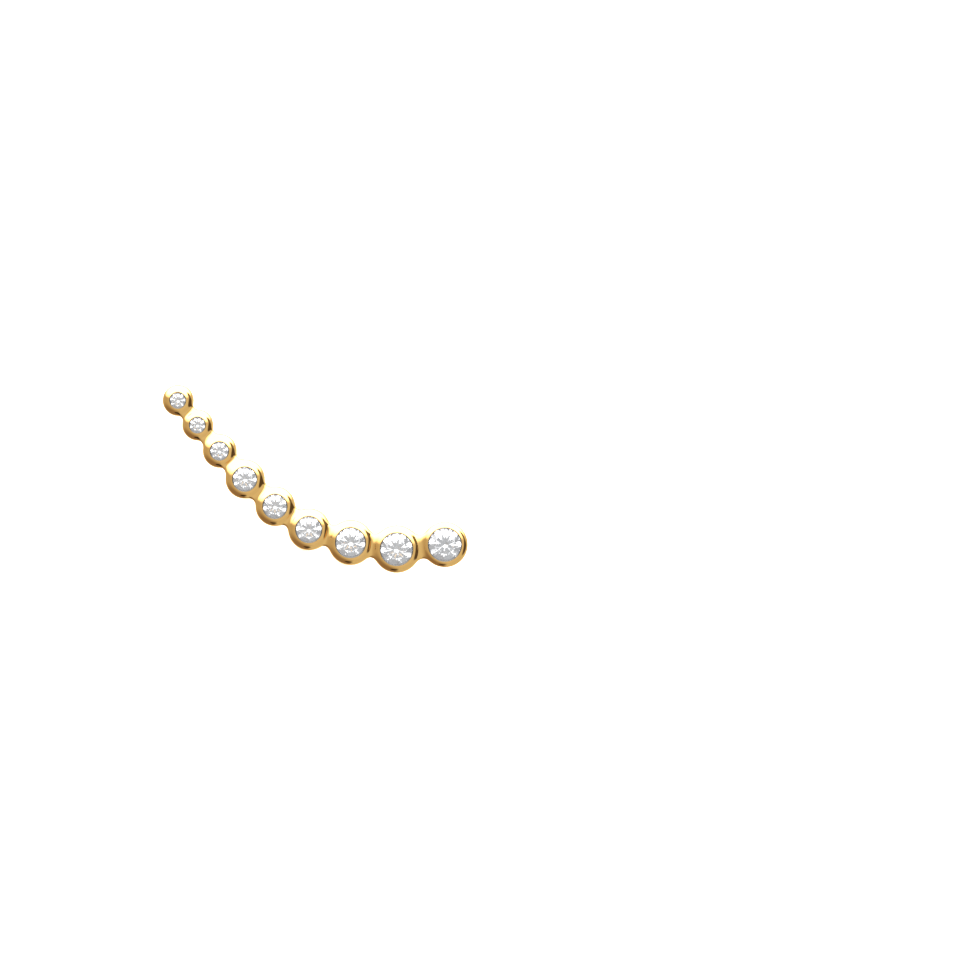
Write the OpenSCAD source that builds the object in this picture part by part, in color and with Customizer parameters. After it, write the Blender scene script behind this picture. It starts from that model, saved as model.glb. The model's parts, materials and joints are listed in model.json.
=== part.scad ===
// Ear climber: a curved, graduated row of round bezel cups, each with a brilliant-cut stone,
// on one straight ear post. All sizes are in millimetres.
//
// The row is drawn in its own plane: the cups' flat backs lie on Z = 0, +X points to the lobe end,
// +Y up the ear and +Z out of the stones. It is then laid on the table as it comes to rest by
// itself, on the back edges of two cups and on the tip of the post.

/* [Row of cups] */
// Cups from the lobe end up: cup width, stone width, step from the cup before, step's heading
row = [
    [3.62, 2.75, 0.00,   0.0],
    [3.79, 2.70, 3.79, 185.4],
    [3.60, 2.50, 3.63, 171.9],
    [3.36, 2.20, 3.42, 162.6],
    [3.18, 2.05, 3.20, 145.7],
    [3.15, 2.05, 3.18, 137.9],
    [2.73, 1.60, 2.97, 132.1],
    [2.50, 1.40, 2.66, 130.4],
    [2.50, 1.40, 2.46, 128.5]
]; // widths [1.2:0.01:4], steps about the two cups' mean width, headings [90:0.1:200] degrees

/* [Cups] */
// How far the lip reaches in over the stone's edge
lip_cover = 0.12; // [0.05:0.01:0.15]
// Slope of the lip's underside, in degrees, a little steeper than the crown below it
lip_angle = 36.5; // [34.5:0.5:42]
// Height of the lip's upright edge round the stone
lip_edge_h = 0.02; // [0.01:0.01:0.1]
// Width, seen from the front, of the bright-cut slope from the rim down to the lip's edge
bright_cut_w = 0.08; // [0.05:0.01:0.15]
// Steepness of the bright-cut slope, in degrees
bright_cut_angle = 43; // [35:1:65]
// Metal between the stone's point and the cup's back
back_room = 0.2; // [0.2:0.01:0.5]
// Radius of the round on the cup's back edge
back_edge_r = 0.2; // [0.1:0.01:0.3]
// Width of the open hole behind a stone, as a share of the stone's width
back_hole_share = 0.6; // [0.3:0.05:0.7]
// Gap between a stone and its seat
seat_gap = 0.03; // [0.01:0.005:0.05]

/* [Necks] */
// Half the neck's width at its waist, as a share of the smaller cup's radius
neck_waist_share = 0.48; // [0.4:0.01:0.6]
// Depth of the neck's saddle below the middle of the lower dome
neck_dip = 0.01; // [0:0.01:0.15]
// Height of the neck's flat underside above the cups' backs
neck_under = 0.12; // [0.05:0.01:0.2]
// How far the fillet's end bites into a cup, so that the two surfaces cross
neck_bite = 0.015; // [0.01:0.005:0.03]

/* [Stones] */
// Width of the table, as a share of the stone's width
table_share = 0.57; // [0.5:0.01:0.65]
// Slope of the crown's main facets, in degrees
crown_angle = 34.5; // [30:0.5:38]
// Slope of the pavilion's main facets, in degrees
pavilion_angle = 40.75; // [39:0.25:43]
// Thickness of the girdle, as a share of the stone's width
girdle_share = 0.03; // [0.02:0.005:0.05]
// Length of the star facets, as a share of the way from the table's edge to the girdle
star_share = 0.5; // [0.4:0.05:0.6]
// Length of the lower girdle facets, as a share of the way from the girdle to the point
lower_share = 0.77; // [0.7:0.01:0.85]
// Turn of each stone in its cup after the one before it, in degrees
stone_turn = 17; // [0:1:45]

/* [Ear post] */
// Cup that carries the post, counted from the lobe end
post_cup = 1; // [1, 2]
// Width of the post
post_d = 0.8; // [0.7:0.05:1]
// Length of the post from the cup's back to its round tip
post_l = 10; // [9:0.5:11]
// Width of the solder fillet at the post's foot
solder_w = 1.4; // [1:0.1:1.8]
// Height of the solder fillet
solder_h = 0.35; // [0.2:0.05:0.6]

/* [Hidden] */
cup_count = len(row);

gold_colour = [0.87, 0.66, 0.33];
stone_colour = [0.86, 0.89, 0.93];
cup_fn = 96;
post_fn = 48;
past = 0.5;  // how far a cutting shape runs past the face that it cuts

// Sizes of cup n and its stone, with n counted from 1
function cup_r(n) = row[n - 1][0] / 2;
function stone_r(n) = row[n - 1][1] / 2;
function crown_h(n) = stone_r(n) * (1 - table_share) * tan(crown_angle);
function pavilion_h(n) = stone_r(n) * tan(pavilion_angle);
function girdle_h(n) = 2 * stone_r(n) * girdle_share;
function girdle_z(n) = back_room + pavilion_h(n) + girdle_h(n);  // top edge of the girdle
function lip_r(n) = stone_r(n) - lip_cover;
function lip_z(n) = girdle_z(n) + (seat_gap + lip_cover) * tan(lip_angle);  // underside of the lip
function cup_h(n) = lip_z(n) + lip_edge_h + bright_cut_w * tan(bright_cut_angle);
function dome_r(n) = cup_r(n) - lip_r(n) - bright_cut_w;

// Where cup n stands: each cup is one step on from the cup before it
function heading(n) = let (a = row[n - 1][3]) [cos(a), sin(a)];
function place(n) = n == 1 ? [0, 0] : place(n - 1) + row[n - 1][2] * heading(n);
post_place = place(post_cup);

// A cup without its seat: straight sides, a quarter-round dome above and a rounded back edge
module cup_blank(n) {
    r = cup_r(n);
    h = cup_h(n);
    dome = dome_r(n);
    rotate_extrude($fn = cup_fn) {
        translate([0, back_edge_r]) square([r, h - dome - back_edge_r]);
        square([r - back_edge_r, h - dome]);
        square([r - dome, h]);
        translate([r - back_edge_r, back_edge_r]) circle(back_edge_r);
        translate([r - dome, h - dome]) circle(dome);
    }
}

// The space that a stone needs in cup n: bright-cut slope, lip, groove, seat and the open hole behind
// the stone. The seat over the post is a closed cone.
module seat_space(n) {
    r = stone_r(n) + seat_gap;
    lip = lip_r(n);
    edge_z = girdle_z(n);
    bottom_z = edge_z - girdle_h(n);
    hole_r = n == post_cup ? 0 : back_hole_share * stone_r(n);
    hole_z = bottom_z - (r - hole_r) * tan(pavilion_angle);
    rotate_extrude($fn = cup_fn)
        polygon([
            [0, cup_h(n) + past],
            [lip + bright_cut_w + past / tan(bright_cut_angle), cup_h(n) + past],
            [lip, lip_z(n) + lip_edge_h],
            [lip, lip_z(n)],
            [r, edge_z],
            [r, bottom_z],
            [hole_r, hole_z],
            if (hole_r > 0) [hole_r, -past],
            if (hole_r > 0) [0, -past]
        ]);
}

// The neck from cup n to the next one: a spool round the line between their middles, cut flat
// underneath. Its waist is midway between the two cups, and its fillet runs out on their sides.
module neck(n) {
    near_r = cup_r(n);
    far_r = cup_r(n + 1);
    step = row[n][2];
    waist_x = (step + near_r - far_r) / 2;
    waist_r = neck_waist_share * min(near_r, far_r);
    side_r = (near_r + far_r) / 2 - neck_bite;
    fillet = (step * step / 4 + waist_r * waist_r - side_r * side_r) / (2 * (side_r - waist_r));
    end_r = (waist_r + fillet) * side_r / (side_r + fillet);
    saddle_z = min(cup_h(n) - dome_r(n) / 2, cup_h(n + 1) - dome_r(n + 1) / 2) - neck_dip;
    axis_z = saddle_z - waist_r;
    intersection() {
        translate([0, 0, axis_z])
            rotate([0, 90, 0])
                rotate_extrude($fn = cup_fn)
                    difference() {
                        translate([0, 0.5 * near_r]) square([end_r, step - 0.5 * (near_r + far_r)]);
                        translate([waist_r + fillet, waist_x]) circle(fillet);
                    }
        translate([0, -near_r, neck_under]) cube([step, 2 * near_r, 2 * near_r]);
    }
}

module ear_post() {
    foot_z = 0.5 * back_edge_r;
    rotate([180, 0, 0])
        translate([0, 0, -foot_z]) {
            cylinder(h = foot_z + post_l - post_d / 2, d = post_d, $fn = post_fn);
            cylinder(h = foot_z, d = solder_w, $fn = post_fn);
            translate([0, 0, foot_z])
                cylinder(h = solder_h, d1 = solder_w, d2 = post_d, $fn = post_fn);
            translate([0, 0, foot_z + post_l - post_d / 2]) sphere(d = post_d, $fn = post_fn);
        }
}

// All the metal, cast and soldered into one
module setting_as_drawn() {
    difference() {
        union() {
            for (n = [1:cup_count]) translate(place(n)) cup_blank(n);
            for (n = [1:cup_count - 1])
                translate(place(n)) rotate([0, 0, row[n][3]]) neck(n);
            translate(post_place) ear_post();
        }
        for (n = [1:cup_count]) translate(place(n)) seat_space(n);
    }
}

// Ring of points round the stone, at one height
function ring(r, z, count, turn) = [for (k = [0:count - 1])
    let (a = turn + 360 * k / count) [r * cos(a), r * sin(a), z]];

// A round brilliant: table, 8 stars, 8 kites, 16 upper facets, the girdle, 16 lower facets and
// 8 mains that meet at the point. Each face lists its corners clockwise as seen from outside.
module brilliant(n) {
    r = stone_r(n);
    table_r = table_share * r;
    table_mid_r = table_r * cos(22.5);
    star_r = table_mid_r + star_share * (r - table_mid_r);
    star_z = crown_h(n) * (r - star_r * cos(22.5)) / (r - table_r);
    lower_r = (1 - lower_share) * r;
    lower_z = -girdle_h(n) - pavilion_h(n) * (1 - lower_r * cos(22.5) / r);
    // first place of each ring in the list of points
    star = 8;
    top = 16;
    bottom = 32;
    lower = 48;
    tip = 56;
    polyhedron(
        points = concat(
            ring(table_r, crown_h(n), 8, 0),
            ring(star_r, star_z, 8, 22.5),
            ring(r, 0, 16, 0),
            ring(r, -girdle_h(n), 16, 0),
            ring(lower_r, lower_z, 8, 22.5),
            [[0, 0, -girdle_h(n) - pavilion_h(n)]]
        ),
        faces = concat(
            [[7, 6, 5, 4, 3, 2, 1, 0]],
            [for (k = [0:7]) [(k + 1) % 8, star + k, k]],
            [for (k = [0:7]) [star + k, top + 2 * k, star + (k + 7) % 8, k]],
            [for (k = [0:15]) [top + (k + 1) % 16, top + k, star + floor(k / 2)]],
            [for (k = [0:15]) [top + k, top + (k + 1) % 16, bottom + (k + 1) % 16, bottom + k]],
            [for (k = [0:15]) [lower + floor(k / 2), bottom + k, bottom + (k + 1) % 16]],
            [for (k = [0:7]) [tip, lower + (k + 7) % 8, bottom + 2 * k, lower + k]]
        )
    );
}

// Direction of the table's pull in the row's plane, where the two cups' back edges lie level
rest_cups = [3, 4];
rest_line = place(rest_cups[1]) - place(rest_cups[0]);
rest_side = acos((cup_r(rest_cups[0]) - cup_r(rest_cups[1])) / norm(rest_line));
down_angle = atan2(rest_line[1], rest_line[0]) + rest_side;
down = [cos(down_angle), sin(down_angle)];
roll = -90 - down_angle;

// Lean of the row that brings the post's round tip down to the same level
edge_circle_r = cup_r(rest_cups[0]) - back_edge_r;
tip_ball_z = post_l - post_d / 2;
lean_flat = place(rest_cups[0]) * down + edge_circle_r - post_place * down;
lean_deep = back_edge_r + tip_ball_z;
lean = acos((post_d / 2 - back_edge_r) / norm([lean_flat, lean_deep])) - atan2(lean_deep, lean_flat);

// Reach of the whole row in a direction, from its plane's origin: the outermost point of any cup's
// two round edges or of the post's tip
function turned(d) = let (y = d[1] * sin(lean) + d[2] * cos(lean), z = -d[1] * cos(lean) + d[2] * sin(lean))
    [d[0] * cos(roll) + y * sin(roll), -d[0] * sin(roll) + y * cos(roll), z];
function cup_reach(n, d) = let (flat = norm([d[0], d[1]]), dome = dome_r(n))
    place(n) * [d[0], d[1]] + max(
        (cup_r(n) - back_edge_r) * flat + back_edge_r * d[2] + back_edge_r,
        (cup_r(n) - dome) * flat + (cup_h(n) - dome) * d[2] + dome);
function tip_reach(d) = post_place * [d[0], d[1]] - tip_ball_z * d[2] + post_d / 2;
function reach(d) = let (t = turned(d)) max([tip_reach(t), for (n = [1:cup_count]) cup_reach(n, t)]);

left = reach([-1, 0, 0]);
right = reach([1, 0, 0]);
front = reach([0, -1, 0]);
back = reach([0, 1, 0]);
under = reach([0, 0, -1]);

// Lay the row on the table: turned in its plane, leant back and set down at the origin
module laid_down() {
    translate([(left - right) / 2, (front - back) / 2, under])
        rotate([90 - lean, 0, 0]) rotate([0, 0, roll]) children();
}

module setting() {
    color(gold_colour) laid_down() setting_as_drawn();
}

module stone(n) {
    color(stone_colour)
        laid_down()
            translate([place(n)[0], place(n)[1], girdle_z(n)])
                rotate([0, 0, n * stone_turn]) brilliant(n);
}

setting();
for (n = [1:cup_count])
    stone(n);
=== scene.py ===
import json
import math

import bmesh
import bpy
from mathutils import Matrix, Vector

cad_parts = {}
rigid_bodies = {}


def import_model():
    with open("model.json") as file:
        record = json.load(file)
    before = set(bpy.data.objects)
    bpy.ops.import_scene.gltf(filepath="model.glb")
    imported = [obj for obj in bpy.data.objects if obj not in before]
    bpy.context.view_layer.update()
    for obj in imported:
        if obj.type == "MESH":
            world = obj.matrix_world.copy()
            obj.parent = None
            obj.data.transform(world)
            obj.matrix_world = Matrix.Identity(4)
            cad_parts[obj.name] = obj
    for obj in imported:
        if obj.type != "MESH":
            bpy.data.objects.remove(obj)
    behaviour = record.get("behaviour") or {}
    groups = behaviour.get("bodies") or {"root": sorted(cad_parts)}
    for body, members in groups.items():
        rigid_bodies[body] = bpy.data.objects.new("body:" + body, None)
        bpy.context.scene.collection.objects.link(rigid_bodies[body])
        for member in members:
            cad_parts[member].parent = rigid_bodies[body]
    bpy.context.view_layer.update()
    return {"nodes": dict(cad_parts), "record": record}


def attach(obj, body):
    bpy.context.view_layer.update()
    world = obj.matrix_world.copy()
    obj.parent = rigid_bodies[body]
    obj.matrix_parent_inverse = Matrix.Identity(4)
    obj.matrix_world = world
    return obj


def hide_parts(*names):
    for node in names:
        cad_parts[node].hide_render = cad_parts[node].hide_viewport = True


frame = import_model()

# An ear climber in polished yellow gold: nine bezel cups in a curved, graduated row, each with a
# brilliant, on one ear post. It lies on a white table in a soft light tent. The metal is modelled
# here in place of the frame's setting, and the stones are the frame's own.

MM = 0.001

# The cups' widths in millimetres, from the lobe end to the tip
CUP_WIDTHS = [3.62, 3.79, 3.60, 3.36, 3.18, 3.15, 2.73, 2.50, 2.50]
CUP_COUNT = len(CUP_WIDTHS)
POST_CUP = 1

# Section of a cup, in millimetres
LIP_COVER = 0.12
LIP_SLOPE = math.radians(36.5)
LIP_EDGE = 0.0775
BRIGHT_CUT = 0.08
BRIGHT_CUT_SLOPE = math.radians(12)
RIM_SLOPE = math.radians(12)  # the dome's, where it meets the bright-cut slope
BACK_ROOM = 0.2
BACK_EDGE = 0.2
HOLE_SHARE = 0.6
SEAT_GAP = 0.03
GROOVE_GAP = 1.7 * SEAT_GAP  # round the stone's edge
PAVILION_SLOPE = math.radians(40.75)
SMALL_ROUND = 0.02  # reach of the round on the section's small edges
# the second material is painted shade, a dark line round each stone
EDGE_MARGIN = 0.01  # how far inside the lip's edge the second material still begins
GIRDLE_SHARE = 0.99  # of a stone's radius, beyond which its corners are the girdle's

# The post and its solder, in millimetres
POST_WIDTH = 0.8
POST_LENGTH = 10.0
SOLDER_ROUND = 0.3
POST_ROWS = (0.93, 0.7, 0.4, 0.1)  # shares of the length, from the tip up
POST_STEP = 22.5  # degrees, between the rows of the tip and of the solder

# The rows and columns of the coarse cage, which is subdivided when it is whole
COLUMN = 15.5  # degrees, rough width of a column of faces
CAGE_TRIM = 0.9985  # keeps the widest columns inside the solid's width
CAGE_SWELL = CAGE_TRIM * 3 / (2 + math.cos(math.radians(COLUMN)))  # makes up for subdividing
EDGE_STEP = 30  # degrees, between the rows of the back edge's round
DOME_STEP = 13  # degrees, between the rows of the dome
DOME_TOP = 65  # degrees up the dome, where its last row lies before the rim
WALL_ROWS = 2
MERGE_WITHIN = 1e-4
SUBDIVISIONS = 2
SHARP_ANGLE = math.radians(50)

# The necks, each of which leaves its two cups through a window in the cup's side
WINDOW_HALF = 33.75  # degrees, to each side of the way to the next cup
WINDOW_TOP = 39  # degrees up the dome
WINDOW_BOTTOM = -30  # degrees down the back edge's round
OUTSIDE_FROM = 0.1  # millimetres out from the stone's edge, where a cup's outside begins
OUTSIDE_TO = 1.02  # share of the cup's radius, within which the outside ends
WAIST = 0.92  # width of a neck's middle ring, as a share of its windows'
NECK_DROP = 0.18  # drop of the middle ring's sides, as a share of its half width

# The picture's frame, in millimetres on the row's plane
CHORD_SLOPE = math.radians(-28.35)  # of the line from the tip stone to the lobe stone
PICTURE_CENTRE = (2.737, 5.042)  # right of and above the lobe stone
PICTURE_WIDTH = 74.9
CAMERA_DISTANCE = 450.0
TABLE_WIDTH = 2.0  # metres, so that no edge of it is in any view


class Cup:
    """One cup, its place in the row's plane and its sizes, in millimetres."""

    def __init__(self, number, place, stone_r, girdle_low, girdle_high):
        self.number = number
        self.place = place
        self.r = CUP_WIDTHS[number - 1] / 2
        self.stone_r = stone_r
        self.girdle_low = girdle_low
        self.girdle_high = girdle_high
        self.lip_r = stone_r - LIP_COVER
        self.lip_z = girdle_high + (LIP_COVER + SEAT_GAP) * math.tan(LIP_SLOPE)
        self.height = self.lip_z + LIP_EDGE + BRIGHT_CUT * math.tan(BRIGHT_CUT_SLOPE)
        self.dome = (self.r - self.lip_r - BRIGHT_CUT) / (1 - math.sin(RIM_SLOPE))
        self.shoulder = self.height - self.dome * math.cos(RIM_SLOPE)


def read_row():
    """The row's own frame, with its origin behind the lobe stone, and the cups that stand in it."""
    post = frame["record"]["mounts"][0]
    out = -Vector(post["axis"]).normalized()
    stones = [frame["nodes"][f"stone_{n}"] for n in range(1, CUP_COUNT + 1)]
    points = [min((v.co for v in s.data.vertices), key=out.dot).copy() for s in stones]
    chord = (points[0] - points[-1]).normalized()
    right = Matrix.Rotation(-CHORD_SLOPE, 3, out) @ chord
    up = out.cross(right)
    place = Matrix((right, up, out)).transposed().to_4x4() * MM
    place.translation = points[0] - out * BACK_ROOM * MM
    place[3][3] = 1.0  # the scale to metres is for the three axes alone
    cups = []
    for number, stone in enumerate(stones, 1):
        corners = [place.inverted() @ v.co for v in stone.data.vertices]
        middle = min(corners, key=lambda c: c.z).xy
        widths = [(c.xy - middle).length for c in corners]
        girdle = [c.z for c, w in zip(corners, widths) if w > GIRDLE_SHARE * max(widths)]
        cups.append(Cup(number, middle, max(widths), min(girdle), max(girdle)))
    return place, cups


def arc(centre, radius, start, end, step):
    """Points along an arc, from one angle to the other in degrees, both ends included."""
    count = round(abs(end - start) / step)
    angles = [math.radians(start + (end - start) * k / count) for k in range(count + 1)]
    return [(centre[0] + radius * math.cos(a), centre[1] + radius * math.sin(a)) for a in angles]


def outer_section(cup):
    """The outside of a cup from its flat back to the rim, as (radius, height) points."""
    section = arc((cup.r - BACK_EDGE, BACK_EDGE), BACK_EDGE, -90, 0, EDGE_STEP)
    rise = cup.shoulder - BACK_EDGE
    section += [(cup.r, BACK_EDGE + rise * k / WALL_ROWS) for k in range(1, WALL_ROWS)]
    return section + arc((cup.r - cup.dome, cup.shoulder), cup.dome, 0, DOME_TOP, DOME_STEP)


def inner_section(cup):
    """The inside of a cup from the rim down, as (radius, height) points.

    It ends at the open back, or at the point of the closed seat in the cup that has the post.
    """
    rim = Vector((cup.lip_r + BRIGHT_CUT, cup.height))
    cut = Vector((-math.cos(BRIGHT_CUT_SLOPE), -math.sin(BRIGHT_CUT_SLOPE))) * SMALL_ROUND
    groove_r = cup.stone_r + GROOVE_GAP
    seat_z = cup.girdle_low - SEAT_GAP
    seat_way = Vector((-1, -math.tan(PAVILION_SLOPE)))
    hole_r = 0 if cup.number == POST_CUP else HOLE_SHARE * cup.stone_r
    seat_top = Vector((groove_r, seat_z))
    seat_end = seat_top + seat_way * (groove_r - hole_r)
    dome = Vector((math.cos(RIM_SLOPE), -math.sin(RIM_SLOPE))) * SMALL_ROUND
    section = [rim + dome, rim, rim + cut]
    section += [(cup.lip_r, cup.lip_z + LIP_EDGE), (cup.lip_r, cup.lip_z)]
    section += [(groove_r, cup.girdle_high), seat_top, seat_top + seat_way * SMALL_ROUND]
    section += [(seat_top + seat_end) / 2]
    section += [seat_end] if hole_r else [seat_end - seat_way * SMALL_ROUND, seat_end]
    if hole_r:
        section += [(hole_r, seat_end.y / 2), (hole_r, SMALL_ROUND), (hole_r, 0)]
        section += [(hole_r + SMALL_ROUND, 0), ((hole_r + cup.r - BACK_EDGE) / 2, 0)]
    return section


def post_section():
    """The post from its round tip to the foot of its solder, as (radius, height) points."""
    r = POST_WIDTH / 2
    section = arc((0, r - POST_LENGTH), r, -90, 0, POST_STEP)
    section += [(r, -POST_LENGTH * share) for share in POST_ROWS]
    return section + arc((r + SOLDER_ROUND, -SOLDER_ROUND), SOLDER_ROUND, 180, 90, POST_STEP)


def trace(section, place, heading):
    """Draws a section as a chain of edges, in the upright plane that faces a heading.

    The chain grows from a small plane that is merged to one point.
    """
    way = Vector((math.cos(heading), math.sin(heading), 0)) * CAGE_SWELL
    points = [place.to_3d() + way * r + Vector((0, 0, z)) for r, z in section]
    bpy.ops.mesh.primitive_plane_add(size=0.1, location=points[0])
    bpy.ops.object.mode_set(mode="EDIT")
    bpy.ops.mesh.merge(type="CENTER")
    for start, end in zip(points, points[1:]):
        bpy.ops.mesh.extrude_vertices_move(TRANSFORM_OT_translate={"value": end - start})
    bpy.ops.mesh.select_all(action="SELECT")


def spin_turns(headings):
    """The turns of the spin round a cup. Each starts or ends at the edge of a neck's window."""
    free = 360 - 2 * WINDOW_HALF
    if len(headings) == 1:
        return [WINDOW_HALF, free, WINDOW_HALF]
    between = math.degrees(headings[1] - headings[0]) % 360
    return [WINDOW_HALF, between - 2 * WINDOW_HALF, 2 * WINDOW_HALF, free - between, WINDOW_HALF]


def make_cup(cup, headings):
    """A cup spun from its section, starting at the heading of its first neck."""
    section = outer_section(cup) + inner_section(cup)
    section = post_section() + section if cup.number == POST_CUP else section + section[:1]
    trace(section, cup.place, headings[0])
    for turn in spin_turns(headings):
        bpy.ops.mesh.spin(steps=round(turn / COLUMN), angle=math.radians(turn),
                          center=cup.place.to_3d(), axis=(0, 0, -1))
    bpy.ops.mesh.select_all(action="SELECT")
    bpy.ops.mesh.remove_doubles(threshold=MERGE_WITHIN)
    bpy.ops.mesh.normals_make_consistent(inside=False)
    bpy.ops.object.mode_set(mode="OBJECT")
    return bpy.context.object


def select_window(mesh, cup, heading):
    """Selects the faces of a cup's outside that lie in the window towards a heading."""
    low = BACK_EDGE * (1 + math.sin(math.radians(WINDOW_BOTTOM)))
    high = cup.shoulder + cup.dome * math.sin(math.radians(WINDOW_TOP))
    for face in mesh.faces:
        middle = face.calc_center_median()
        flat = middle.xy - cup.place
        turn = (math.atan2(flat.y, flat.x) - heading + math.pi) % math.tau - math.pi
        in_window = abs(turn) < math.radians(WINDOW_HALF) and low < middle.z < high
        if in_window and cup.stone_r + OUTSIDE_FROM < flat.length < OUTSIDE_TO * cup.r:
            face.select_set(True)


def shape_waist(ring):
    """Narrows the middle ring of a neck and lets its sides drop, so that the neck is round across."""
    middle = sum((v.co for v in ring), Vector()) / len(ring)
    low = min(v.co.z for v in ring)
    high = max(v.co.z for v in ring)
    half = max((v.co.xy - middle.xy).length for v in ring)
    bpy.ops.transform.resize(value=(WAIST, WAIST, 1), center_override=middle)
    for vertex in ring:
        aside = (vertex.co.xy - middle.xy).length / (WAIST * half)
        drop = NECK_DROP * half * aside ** 2 * (vertex.co.z - low) / (high - low)
        bpy.ops.mesh.select_all(action="DESELECT")
        vertex.select_set(True)
        bpy.ops.transform.translate(value=(0, 0, -drop))


def join_necks(setting, cups, headings):
    """Opens the facing windows of each two neighbours and bridges them with a waisted neck."""
    bpy.ops.object.mode_set(mode="EDIT")
    for near, far, heading in zip(cups, cups[1:], headings):
        bpy.ops.mesh.select_mode(type="FACE")
        bpy.ops.mesh.select_all(action="DESELECT")
        mesh = bmesh.from_edit_mesh(setting.data)
        select_window(mesh, near, heading)
        select_window(mesh, far, heading + math.pi)
        bmesh.update_edit_mesh(setting.data)
        bpy.ops.mesh.delete(type="FACE")
        bpy.ops.mesh.select_mode(type="VERT")
        bpy.ops.mesh.select_non_manifold(extend=False)
        bpy.ops.mesh.bridge_edge_loops(type="PAIRS", number_cuts=1, interpolation="LINEAR")
        bpy.ops.mesh.select_less()
        mesh = bmesh.from_edit_mesh(setting.data)
        shape_waist([v for v in mesh.verts if v.select])
    bpy.ops.object.mode_set(mode="OBJECT")


def mark_painted_crevice_shade(setting, cups):
    """Gives the faces of each bright-cut slope and of the upright edge below it the second material, a
    painted shade.
    """
    for face in setting.data.polygons:
        for cup in cups:
            out = (face.center.xy - cup.place).length - cup.lip_r
            if -EDGE_MARGIN < out < BRIGHT_CUT and face.center.z > cup.lip_z:
                face.material_index = 1


def make_setting(place, cups, materials):
    """The whole setting: nine cups joined by necks, laid where the frame has its row."""
    steps = [far.place - near.place for near, far in zip(cups, cups[1:])]
    headings = [math.atan2(step.y, step.x) for step in steps]
    made = []
    for index, cup in enumerate(cups):
        to_last = [headings[index - 1] + math.pi] if index else []
        made.append(make_cup(cup, headings[index:index + 1] + to_last))
    bpy.ops.object.select_all(action="DESELECT")
    for cup in made:
        cup.select_set(True)
    bpy.context.view_layer.objects.active = made[0]
    bpy.ops.object.join()
    setting = bpy.context.object
    setting.name = setting.data.name = "gold_setting"
    bpy.ops.object.transform_apply(location=True, rotation=True, scale=True)
    join_necks(setting, cups, headings)
    smooth = setting.modifiers.new("smooth", "SUBSURF")
    smooth.levels = smooth.render_levels = SUBDIVISIONS
    bpy.ops.object.modifier_apply(modifier=smooth.name)
    for material in materials:
        setting.data.materials.append(material)
    # the faces round each stone get the painted crevice shade
    mark_painted_crevice_shade(setting, cups)
    setting.matrix_world = place
    bpy.ops.object.transform_apply(location=True, rotation=True, scale=True)
    bpy.ops.object.shade_smooth_by_angle(angle=SHARP_ANGLE)
    return setting


def new_group(name, inputs, outputs):
    """An empty shader node group with number inputs (name, value) and outputs (name, kind)."""
    group = bpy.data.node_groups.new(name, "ShaderNodeTree")
    for label, value in inputs:
        socket = group.interface.new_socket(label, in_out="INPUT", socket_type="NodeSocketFloat")
        socket.default_value = value
    for label, kind in outputs:
        group.interface.new_socket(label, in_out="OUTPUT", socket_type=kind)
    return group, group.nodes.new("NodeGroupInput"), group.nodes.new("NodeGroupOutput")


def make_handling():
    """Faint marks of polishing and handling: a roughness that drifts, and a height for bump."""
    group, given, put = new_group(
        "handling", [("Low", 0.05), ("High", 0.1), ("Scale", 1500), ("Fine Scale", 9000)],
        [("Roughness", "NodeSocketFloat"), ("Drift", "NodeSocketFloat"),
         ("Height", "NodeSocketFloat")])
    nodes, links = group.nodes, group.links
    place = nodes.new("ShaderNodeTexCoord").outputs["Object"]
    drift = nodes.new("ShaderNodeTexNoise")
    drift.inputs["Detail"].default_value = 3
    fine = nodes.new("ShaderNodeTexNoise")
    fine.inputs["Detail"].default_value = 2
    links.new(place, drift.inputs["Vector"])
    links.new(place, fine.inputs["Vector"])
    links.new(given.outputs["Scale"], drift.inputs["Scale"])
    links.new(given.outputs["Fine Scale"], fine.inputs["Scale"])
    spread = nodes.new("ShaderNodeMapRange")
    spread.inputs["From Min"].default_value = 0.3
    spread.inputs["From Max"].default_value = 0.7
    links.new(drift.outputs["Fac"], spread.inputs["Value"])
    links.new(given.outputs["Low"], spread.inputs["To Min"])
    links.new(given.outputs["High"], spread.inputs["To Max"])
    links.new(spread.outputs["Result"], put.inputs["Roughness"])
    links.new(drift.outputs["Fac"], put.inputs["Drift"])
    links.new(fine.outputs["Fac"], put.inputs["Height"])
    return group


def new_material(name):
    """A material with its node tree and its shader."""
    material = bpy.data.materials.new(name)
    material.use_nodes = True
    return material, material.node_tree, material.node_tree.nodes["Principled BSDF"]


FINER = 6  # scale of the fine marks, as a share of the drift's


def add_handling(tree, shader, handling, low, high, scale):
    """Places the handling group and gives its roughness to the shader."""
    marks = tree.nodes.new("ShaderNodeGroup")
    marks.node_tree = handling
    marks.inputs["Low"].default_value = low
    marks.inputs["High"].default_value = high
    marks.inputs["Scale"].default_value = scale
    marks.inputs["Fine Scale"].default_value = FINER * scale
    tree.links.new(marks.outputs["Roughness"], shader.inputs["Roughness"])
    return marks


def tint_by_drift(tree, shader, marks, one, other):
    """Lets the base colour drift between two near colours."""
    tint = tree.nodes.new("ShaderNodeMix")
    tint.data_type = "RGBA"
    tint.inputs["A"].default_value = (*one, 1)
    tint.inputs["B"].default_value = (*other, 1)
    tree.links.new(marks.outputs["Drift"], tint.inputs["Factor"])
    tree.links.new(tint.outputs["Result"], shader.inputs["Base Color"])


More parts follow.
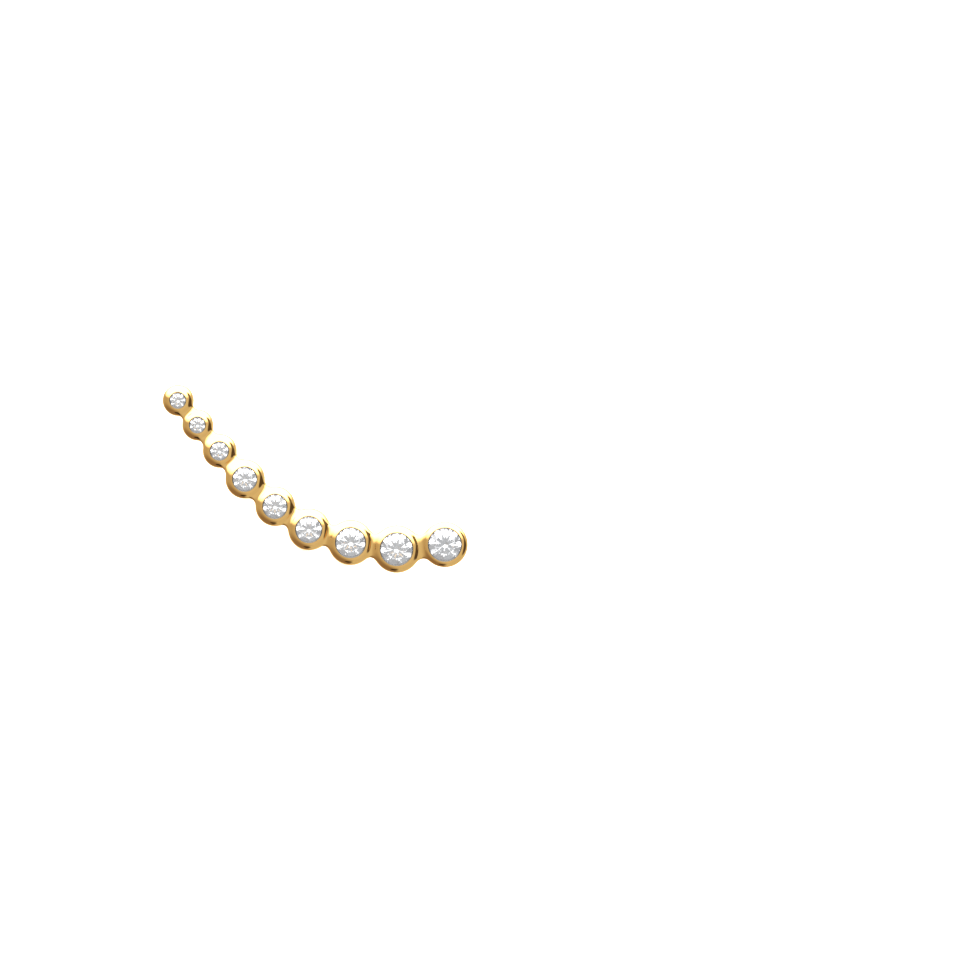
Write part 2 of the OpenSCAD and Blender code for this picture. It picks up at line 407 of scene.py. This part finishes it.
def make_gold(handling):
    """Polished yellow gold, slightly uneven as a cast and hand-polished piece is."""
    gold, tree, shader = new_material("polished_gold")
    shader.inputs["Metallic"].default_value = 1.0
    marks = add_handling(tree, shader, handling, 0.05, 0.11, 1200)
    tint_by_drift(tree, shader, marks, (0.92, 0.56, 0.18), (0.96, 0.60, 0.21))
    bump = tree.nodes.new("ShaderNodeBump")
    bump.inputs["Strength"].default_value = 0.15
    bump.inputs["Distance"].default_value = 0.002 * MM
    tree.links.new(marks.outputs["Height"], bump.inputs["Height"])
    tree.links.new(bump.outputs["Normal"], shader.inputs["Normal"])
    return gold


def make_painted_crevice_shade(handling):
    """The fine edge round the stones, dull and painted near-black as the shade in the crevice by the
    stone.
    """
    edge, tree, shader = new_material("painted_crevice_shade")
    shader.inputs["Metallic"].default_value = 1.0
    marks = add_handling(tree, shader, handling, 0.22, 0.3, 1200)
    # painted shade: a near-black metal colour that stands in for the shadow in the crevice round each
    # stone
    tint_by_drift(tree, shader, marks, (0.10, 0.098, 0.094), (0.13, 0.126, 0.12))
    return edge


def make_stone(handling):
    """Clear, highly refractive stone with clean facets."""
    stone, tree, shader = new_material("clear_stone")
    shader.inputs["Transmission Weight"].default_value = 1.0
    shader.inputs["IOR"].default_value = 2.15
    marks = add_handling(tree, shader, handling, 0.0, 0.02, 900)
    tint_by_drift(tree, shader, marks, (0.69, 0.70, 0.72), (0.73, 0.73, 0.73))
    return stone


# The light tent and its panels
WHITE = (1.0, 1.0, 1.0)
WARM = (1.0, 0.93, 0.85)
BROWN = (1.0, 0.77, 0.65)
TENT_BASE = (0.74, 0.75, 0.76)
TENT_PANELS = [  # name, tilt, turn, half width and softness in degrees, brightness, tint
    ("left", 88, 200, 50, 60, 0.56, WARM),
    ("lower_left", 93, 240, 40, 40, 0.30, BROWN),
    ("lower_right", 88, 302, 36, 6, 0.70, WHITE),
    ("lower_gap", 81, 263, 11, 5, 0.03, BROWN),
    ("top", 79, 90, 62, 24, 5.0, WHITE),
    ("right_gap_above", 74, 26, 15, 12, 0.20, WARM),
    ("right_gap", 77, -8, 23, 8, 0.10, BROWN),
    ("behind", 180, 0, 50, 10, 1.4, WHITE),
]


def make_tent(place):
    """The light tent: soft panels round the climber, each laid over those before it.

    A panel's tilt is its angle from the way out of the stones, which is twice the slope of the
    metal that shows it to someone in front. Its turn is counted from the right.
    """
    right, up, out = (place.to_3x3().col[k].normalized() for k in range(3))
    world = bpy.data.worlds.new("light_tent")
    bpy.context.scene.world = world
    world.use_nodes = True
    nodes, links = world.node_tree.nodes, world.node_tree.links
    direction = nodes.new("ShaderNodeTexCoord").outputs["Generated"]
    light = None
    for name, tilt, turn, half, soft, brightness, tint in TENT_PANELS:
        tilt, turn = math.radians(tilt), math.radians(turn)
        side = right * math.cos(turn) + up * math.sin(turn)
        toward = nodes.new("ShaderNodeVectorMath")
        toward.operation = "DOT_PRODUCT"
        toward.inputs[1].default_value = out * math.cos(tilt) + side * math.sin(tilt)
        links.new(direction, toward.inputs[0])
        edge = nodes.new("ShaderNodeMapRange")
        edge.interpolation_type = "SMOOTHSTEP"
        edge.inputs["From Min"].default_value = math.cos(math.radians(half + soft / 2))
        edge.inputs["From Max"].default_value = math.cos(math.radians(max(half - soft / 2, 0)))
        links.new(toward.outputs["Value"], edge.inputs["Value"])
        panel = nodes.new("ShaderNodeMix")
        panel.data_type = "RGBA"
        panel.label = name
        links.new(edge.outputs["Result"], panel.inputs["Factor"])
        panel.inputs["A"].default_value = (*TENT_BASE, 1)
        if light:
            links.new(light, panel.inputs["A"])
        panel.inputs["B"].default_value = (*(brightness * part for part in tint), 1)
        light = panel.outputs["Result"]
    links.new(light, nodes["Background"].inputs["Color"])


def make_table(handling):
    """The white board that the climber lies on, left out of reflections and of the stones."""
    bpy.ops.object.select_all(action="DESELECT")
    bpy.ops.mesh.primitive_plane_add(size=TABLE_WIDTH, location=(0, 0, 0))
    table = bpy.context.object
    table.name = "white_table"
    board, tree, shader = new_material("white_board")
    marks = add_handling(tree, shader, handling, 0.8, 0.95, 60)
    tint_by_drift(tree, shader, marks, (0.93, 0.93, 0.93), (0.96, 0.96, 0.96))
    shader.inputs["Specular IOR Level"].default_value = 0.0
    shader.inputs["Emission Color"].default_value = (1, 1, 1, 1)
    shader.inputs["Emission Strength"].default_value = 0.8
    table.data.materials.append(board)
    table.visible_glossy = False
    table.visible_transmission = False


def make_camera(place, cups):
    """A camera straight in front of the row's face, framed as the picture is."""
    data = bpy.data.cameras.new("camera")
    camera = bpy.data.objects.new("camera", data)
    bpy.context.scene.collection.objects.link(camera)
    camera.matrix_world = place.to_3x3().normalized().to_4x4()
    camera.location = place @ Vector((*PICTURE_CENTRE, cups[0].height + CAMERA_DISTANCE))
    data.lens = data.sensor_width * CAMERA_DISTANCE / PICTURE_WIDTH
    data.clip_start = 0.01
    data.clip_end = 10
    bpy.context.scene.camera = camera


def dress(piece, material):
    """Gives a piece its one material."""
    piece.data.materials.clear()
    piece.data.materials.append(material)


bpy.ops.object.select_all(action="DESELECT")
place, cups = read_row()
handling = make_handling()
setting = make_setting(place, cups, [make_gold(handling), make_painted_crevice_shade(handling)])
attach(setting, "root")
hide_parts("setting")
clear_stone = make_stone(handling)
for number in range(1, CUP_COUNT + 1):
    dress(frame["nodes"][f"stone_{number}"], clear_stone)
make_tent(place)
make_table(handling)
make_camera(place, cups)
bpy.context.scene.view_settings.view_transform = "Standard"
